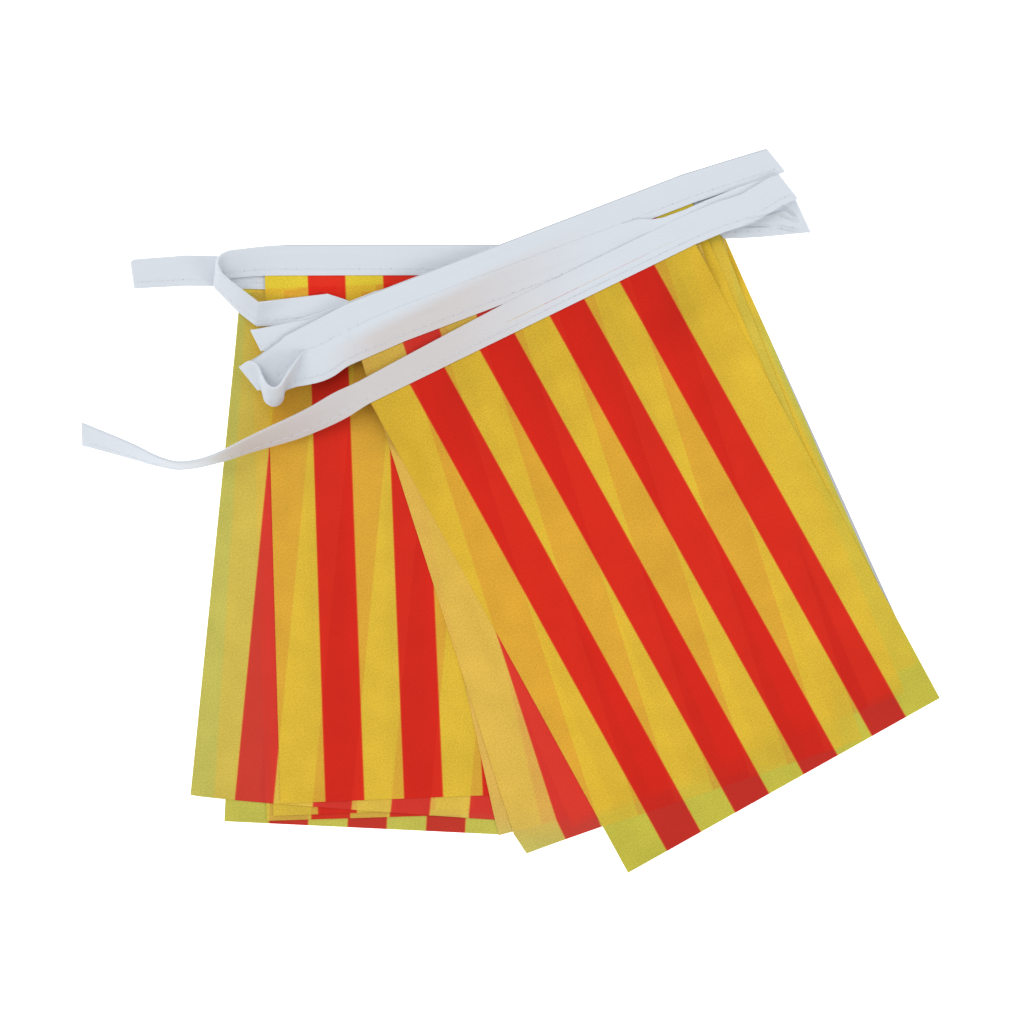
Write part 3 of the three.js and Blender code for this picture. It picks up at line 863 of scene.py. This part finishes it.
def flag_piece(index, material):
    """A thin sheet over the flag's four corners: each point is the mix of the corners by its shares
    across and down, with a slight bow of the bottom edge and a turned corner, at the flag's resting
    height plus long soft waves down the drop."""
    top_left, top_right, bottom_right, bottom_left = np.array(FLAGS[index])
    columns = int(FLAG_WIDTH / CELL) + 1
    rows = int((FLAG_DROP + MARGIN) / CELL) + 1
    u, v = np.meshgrid(np.linspace(0, 1, columns), np.linspace(-MARGIN / FLAG_DROP, 1, rows))
    u1, v1 = u[..., None], v[..., None]
    flat = (1 - v1) * ((1 - u1) * top_left + u1 * top_right)
    flat = flat + v1 * ((1 - u1) * bottom_left + u1 * bottom_right)
    bow, middle = BOTTOM_BOWS.get(index, (0.0, 0.5))
    bent = u ** (math.log(0.5) / math.log(middle))
    flat = flat - bow * (4 * bent * (1 - bent) * np.clip(v, 0, 1) ** 4)[..., None] * np.array([0, 1])
    turned, stretch = TURNED_CORNERS.get(index, (0.0, 1.0))
    near_corner = np.clip(1 - (1 - v) * FLAG_DROP / stretch, 0, 1) * (1 - u) ** 6
    flat = flat + (turned * near_corner)[..., None] * np.array([1, 0])
    x, y = flat[..., 0], flat[..., 1]
    sway = WAVE_SWAY[0] * np.sin(v * WAVE_SWAY[1])
    waves = WAVE_HEIGHT * np.sin(u * WAVES + sway + index * WAVE_SHIFT)
    z = resting_height(index, x, y) + waves * smooth(v * FLAG_DROP / WAVE_START)
    sheet = np.stack([x, y, z], -1)
    over = np.cross(np.gradient(sheet, axis=1), np.gradient(sheet, axis=0))
    over = over / np.linalg.norm(over, axis=-1, keepdims=True)
    over = over * np.sign(over[..., 2:])
    points = np.concatenate([sheet + over * CLOTH / 2, sheet - over * CLOTH / 2]).reshape(-1, 3)
    count = rows * columns
    grid = quads(rows, columns)
    rim = np.concatenate([
        np.arange(columns),
        np.arange(1, rows) * columns + columns - 1,
        (rows - 1) * columns + np.arange(columns - 2, -1, -1),
        np.arange(rows - 2, 0, -1) * columns,
    ])
    onward = np.roll(rim, -1)
    sides = np.stack([rim, onward, onward + count, rim + count], 1)
    faces = np.concatenate([grid, grid[:, ::-1] + count, sides])
    left, right, bottom, _ = printed_corners(index)
    printed = (1 - v) * (left + (right - left) * u) + v * bottom * u
    uv = np.stack([printed, v * FLAG_DROP], -1).reshape(-1, 2)
    return make_piece(f"printed_flag_{index + 1}", points, faces, np.concatenate([uv, uv]), material)


def row_of(x, y, across, wide, z=0.0, rise=0.0):
    """Stitched edge and folded edge of the tape at one row, as six numbers."""
    angle = math.radians(across)
    return [x, y, z, x + wide * math.cos(angle), y + wide * math.sin(angle), z + rise]


def table_rows(table):
    """The rows of a free run of the tape."""
    return [row_of(x, y, across, wide, z, rise) for x, y, z, across, wide, rise in table]


def middle_length(rows):
    """Distance along the middle of the tape up to each row."""
    middle = (rows[:, :3] + rows[:, 3:]) / 2
    return np.concatenate([[0], np.cumsum(np.linalg.norm(np.diff(middle, axis=0), axis=1))])


def pass_rows(index):
    """One plain pass from left to right, in straight steps between its ends and mitred bends."""
    left, bends, right = PASSES[index]
    corners = FLAGS[index]
    ends = [end[:2] for end in (left, right) if end]
    points = np.array(sorted([corners[0], corners[1], *bends, *ends]))
    steps = np.diff(points, axis=0)
    headings = np.degrees(np.arctan2(steps[:, 1], steps[:, 0]))
    before = np.concatenate([headings[:1], headings])
    after = np.concatenate([headings, headings[-1:]])
    wide = TAPE_WIDTH / np.cos(np.radians(after - before) / 2)
    keys = [row_of(*p, (b + a) / 2 + 90, w) for p, b, a, w in zip(points, before, after, wide)]
    if left:
        keys[0] = row_of(*left)
    keys[-1] = row_of(*right)
    keys = np.array(keys)
    knots = middle_length(keys)
    count = max(int(knots[-1] / ROW_STEP), 2)
    at = np.unique(np.concatenate([np.linspace(0, knots[-1], count), knots]))
    rows = np.stack([np.interp(at, knots, keys[:, i]) for i in range(6)], 1)
    rows[:, 2] = tape_level(index, rows[:, 0], rows[:, 1])
    rows[:, 5] = tape_level(index, rows[:, 3], rows[:, 4])
    if index in PRESSED:
        places, widths, flats = PRESSED[index]
        share = np.interp(rows[:, 0], places, widths)[:, None]
        rows[:, 3:5] = rows[:, :2] + (rows[:, 3:5] - rows[:, :2]) * share
        rows[:, 5] -= PRESSED_DROP * smooth(np.interp(rows[:, 0], places, flats))
    return rows


def turn_rows(rows):
    """A turn over the end of a pass: a half circle about the line between the two layers."""
    way = rows[-1, :3] - rows[-2, :3]
    way[2] = 0
    way = way / np.linalg.norm(way)
    angle = np.linspace(0, math.pi, TURN_POINTS)[1:-1, None]
    shift = way * np.sin(angle) * PITCH / 2 + np.array([0, 0, 1]) * (1 - np.cos(angle)) * PITCH / 2
    return rows[-1] + np.hstack([shift, shift])


def curved_span(keys, first, last):
    """Rows from one key row to another along a smooth curve through all of the keys: a cubic between
    each two, whose slopes come from the neighbours."""
    knots = middle_length(keys)
    slopes = np.gradient(keys, knots, axis=0)
    count = max(int((knots[last] - knots[first]) / (ROW_STEP * CURVE_STEP)), 2)
    at = np.linspace(knots[first], knots[last], count)
    segment = np.clip(np.searchsorted(knots, at, side="right") - 1, 0, len(keys) - 2)
    length = np.diff(knots)[segment][:, None]
    t = (at[:, None] - knots[segment][:, None]) / length
    start, end = keys[segment], keys[segment + 1]
    leave, arrive = slopes[segment] * length, slopes[segment + 1] * length
    return (
        (2 * t**3 - 3 * t**2 + 1) * start
        + (t**3 - 2 * t**2 + t) * leave
        + (3 * t**2 - 2 * t**3) * end
        + (t**3 - t**2) * arrive
    )


def curved_rows(before, table, after, creases=()):
    """Rows along a curve through the table, broken at its creases. The rows before and after only give
    the slopes, but for the innermost."""
    keys = np.array(before + table + after)
    first = max(len(before) - 1, 0)
    last = len(keys) - 1 - max(len(after) - 1, 0)
    stops = [first, *(len(before) + crease for crease in creases), last]
    parts = []
    for start, end in zip(stops, stops[1:]):
        low = 0 if start == first else start
        high = len(keys) - 1 if end == last else end
        parts.append(curved_span(keys[low : high + 1], start - low, end - low)[:-1])
    return np.concatenate([*parts, keys[last : last + 1]])


def tape_rows():
    """The whole tape in the order it runs: odd passes run to the right, even ones to the left. Gives
    the rows, the number of the pass that each belongs to, and how flat its folded edge lies."""
    parts = []
    numbers = []

    def append(part, index):
        parts.append(part)
        numbers.append(np.full(len(part), index))

    for index in range(len(PASSES)):
        layer = pass_rows(index)
        layer = layer if index % 2 else layer[::-1]
        following = pass_rows(index + 1) if index + 1 < len(PASSES) else None
        if index == LOOP_PASS:
            held = [list(layer[-CURVE_INSET])]
            after = [list(following[0]), list(following[CURVE_INSET])]
            append(layer[:-CURVE_INSET], index)
            append(curved_rows(held, table_rows(LOOP), after, LOOP_CREASES)[:-1], index + 0.5)
        elif index == len(PASSES) - 1:
            held = [list(layer[-CURVE_INSET]), list(layer[-1])]
            append(layer, index)
            append(curved_rows(held, table_rows(LOOSE_END), [])[1:], index + 0.5)
        else:
            append(layer, index)
            append(turn_rows(layer), index)
        if index == LIP_PASS:
            turned = row_of(*TURN_9, (LIP_PASS + 1) * PITCH + SHEET / 2)
            after = [list(following[0]), list(following[CURVE_INSET])]
            append(curved_rows([turned], table_rows(LIP), after, LIP_CREASES)[:-1], index + 0.5)
    rows, numbers = np.concatenate(parts), np.concatenate(numbers)
    flat = np.zeros(len(rows))
    for index in (LIP_PASS + 1, len(PASSES) - 1):
        places, _, flats = PRESSED[index]
        flat = np.where(numbers == index, np.interp(rows[:, 0], places, flats), flat)
    lip = smooth((rows[:, 0] - LIP_FLAT["start"]) / LIP_FLAT["length"])
    flat = np.where(numbers == LIP_PASS + 0.5, lip, flat)
    rows[:, 5] -= np.where(numbers == LIP_PASS + 0.5, PRESSED_DROP * lip, 0)
    return rows, numbers, smooth(flat)


def tape_frame(rows):
    """Distance along, stitched edge, way across and way out of the tape's face at each row."""
    length = middle_length(rows)
    middle = (rows[:, :3] + rows[:, 3:]) / 2
    step = np.diff(middle, axis=0)
    step = step / np.linalg.norm(step, axis=1, keepdims=True)
    way = np.concatenate([step[:1], step]) + np.concatenate([step, step[-1:]])
    across = rows[:, 3:] - rows[:, :3]
    out = np.cross(way, across)
    out = out / np.linalg.norm(out, axis=1, keepdims=True)
    return length, rows[:, :3], across, out


def tape_piece(rows, numbers, flat, material):
    """A band folded along its length: at each row its section goes out over one ply, round the folded
    edge in a half circle and back over the other, at the outer and at the inner face of the plies. It
    is thinner towards the folded edge where that lies flat."""
    length, stitched, across, out = tape_frame(rows)
    half = SHEET / 2
    straight = np.array([0, 1.5, 2.5, 3.5, 6, 9, TAPE_WIDTH - half])
    turn = np.linspace(math.pi / 2, -math.pi / 2, TURN_POINTS)[1:-1]
    places = []
    for radius in (half, half - TAPE_PLY):
        over = np.stack([straight, np.full(len(straight), radius)], 1)
        round_fold = np.stack([TAPE_WIDTH - half + radius * np.cos(turn), radius * np.sin(turn)], 1)
        under = over[::-1] * (1, -1)
        places.append(np.concatenate([over, round_fold, under]))
    one = len(places[0])
    section = np.concatenate([places[0], places[1][::-1]])
    share = section[None, :, 0, None] / TAPE_WIDTH
    thin = 1 - PRESSED_THIN * flat[:, None] * smooth(section[None, :, 0] / TAPE_WIDTH)
    away = (section[None, :, 1] * thin)[..., None]
    points = stitched[:, None] + across[:, None] * share + out[:, None] * away
    faces = quads(len(rows), len(section), wrap=True)
    first = np.arange(one - 1)
    cap = np.stack([first, first + 1, 2 * one - 2 - first, 2 * one - 1 - first], 1)
    last = (len(rows) - 1) * len(section)
    faces = np.concatenate([faces, cap, cap[:, ::-1] + last])
    side = np.where(section[:, 1] < 0, -1, 1) * section[:, 0]
    uv = np.stack(np.broadcast_arrays(length[:, None], side[None]), -1).reshape(-1, 2)
    piece = make_piece("folded_tape", points.reshape(-1, 3), faces, uv, material)
    # Marks the passes whose folded edge gets a painted shade: those of the loop and the lip.
    outer = np.isin(numbers, (LOOP_PASS, LIP_PASS)).astype(np.float32)
    edge = piece.data.attributes.new("Outer edge", "FLOAT", "POINT")
    edge.data.foreach_set("value", np.repeat(outer, len(section)))
    return piece


def stitch_mesh(rows, numbers):
    """Points and faces of the running stitches on both plies: each is a thread whose radius swells from
    nothing to full and back, along the tape at the same distance from its open edge. Where one lies on
    the ground, the ground flattens it."""
    length, stitched, across, out = tape_frame(rows)
    starts = np.arange(STITCH_PITCH / 2, length[-1] - STITCH_PITCH, STITCH_PITCH)
    nearest = np.searchsorted(length, starts)
    for number, low, high in UNSEEN_STITCHES:
        places = rows[nearest, 0]
        hidden = (numbers[nearest] == number) & (places > low) & (places < high)
        starts, nearest = starts[~hidden], nearest[~hidden]
    swell = np.linspace(0, math.pi, STITCH_POINTS)
    at = starts[:, None] + STITCH_PITCH * (0.5 - STITCH_SHARE * np.cos(swell))[None]
    angle = np.linspace(0, 2 * math.pi, STITCH_POINTS)[:-1]

    def along(values):
        return np.stack([np.interp(at, length, values[:, i]) for i in range(3)], -1)

    base, way, face = along(stitched), along(across), along(out)
    way = way / np.linalg.norm(way, axis=-1, keepdims=True)
    radius = (STITCH_RADIUS[0] + STITCH_RADIUS[1] * np.sin(swell))[None, :, None, None]
    parts = []
    for side in (1, -1):
        centre = base + way * STITCH_INSET + face * side * (SHEET / 2 + STITCH_LIFT)
        ring = way[:, :, None] * np.cos(angle)[:, None] + face[:, :, None] * np.sin(angle)[:, None]
        parts.append((centre[:, :, None] + ring * radius).reshape(-1, 3))
    points = np.concatenate(parts)
    points[:, 2] = np.maximum(points[:, 2], 0)
    rings, corners = len(swell), len(angle)
    tube = quads(rings, corners, wrap=True)
    count = 2 * len(starts)
    faces = (tube[None] + np.arange(count)[:, None, None] * rings * corners).reshape(-1, 4)
    return points, faces


rows, numbers, flat = tape_rows()
stripes = stripes_group()
over = seen_over_group(stripes)
inside = inside_group()
groups = {
    "fold": fold_group(),
    "over": over,
    "flag": flag_beneath_group(inside, over),
    "tape": tape_beneath_group(inside),
    "grain": grain_group(),
}

for index in range(len(FLAGS)):
    piece = flag_piece(index, flag_material(index, groups))
    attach(piece, "root")
    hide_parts(f"flag_{index + 1}")

tape = tape_piece(rows, numbers, flat, tape_material(groups))
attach(tape, "root")
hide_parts("header_tape")

points, faces = stitch_mesh(rows, numbers)
thread = make_piece("stitches", points, faces, points[:, :2], thread_material(), sharp=180)
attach(thread, "root")


def make_floor():
    """A ground that shines as white as paper, so that no shadow darkens it."""
    mesh = bpy.data.meshes.new("ground")
    corners = [(-6, -6, 0), (6, -6, 0), (6, 6, 0), (-6, 6, 0)]
    mesh.from_pydata(corners, [], [(0, 1, 2, 3)])
    material, nodes = new_material("Ground")
    shader = principled(nodes, FLOOR_WHITE, 0.9, 0.0)
    shader.inputs["Emission Color"].default_value = (1, 1, 1, 1)
    shader.inputs["Emission Strength"].default_value = FLOOR_SHINE
    mesh.materials.append(material)
    ground = bpy.data.objects.new("ground", mesh)
    bpy.context.scene.collection.objects.link(ground)


def make_light(name, place, side, power):
    """A square lamp that looks at the middle of the part."""
    lamp = bpy.data.lights.new(name, "AREA")
    lamp.shape = "SQUARE"
    lamp.size = side
    lamp.energy = power
    light = bpy.data.objects.new(name, lamp)
    light.location = place
    direction = -light.location.normalized()
    light.rotation_euler = direction.to_track_quat("-Z", "Y").to_euler()
    bpy.context.scene.collection.objects.link(light)


def make_camera():
    """Straight down through a long lens: the picture shows 398.9 mm of the ground."""
    camera = bpy.data.cameras.new("camera")
    camera.sensor_width = 36
    camera.lens = 400
    holder = bpy.data.objects.new("camera", camera)
    holder.location = (0.00039, -0.00039, 4.433)
    camera.clip_end = 50
    bpy.context.scene.collection.objects.link(holder)
    bpy.context.scene.camera = holder


make_floor()
make_light("window", (-1.2, 1.0, 2.6), 2.2, 29)
make_light("lamp", (0.9, -0.5, 0.9), 0.6, 3.0)
make_camera()

world = bpy.data.worlds.new("sky")
bpy.context.scene.world = world
world.use_nodes = True
world.node_tree.nodes["Background"].inputs["Color"].default_value = (1, 1, 1, 1)
world.node_tree.nodes["Background"].inputs["Strength"].default_value = SKY_LIGHT
bpy.context.scene.view_settings.view_transform = "Standard"
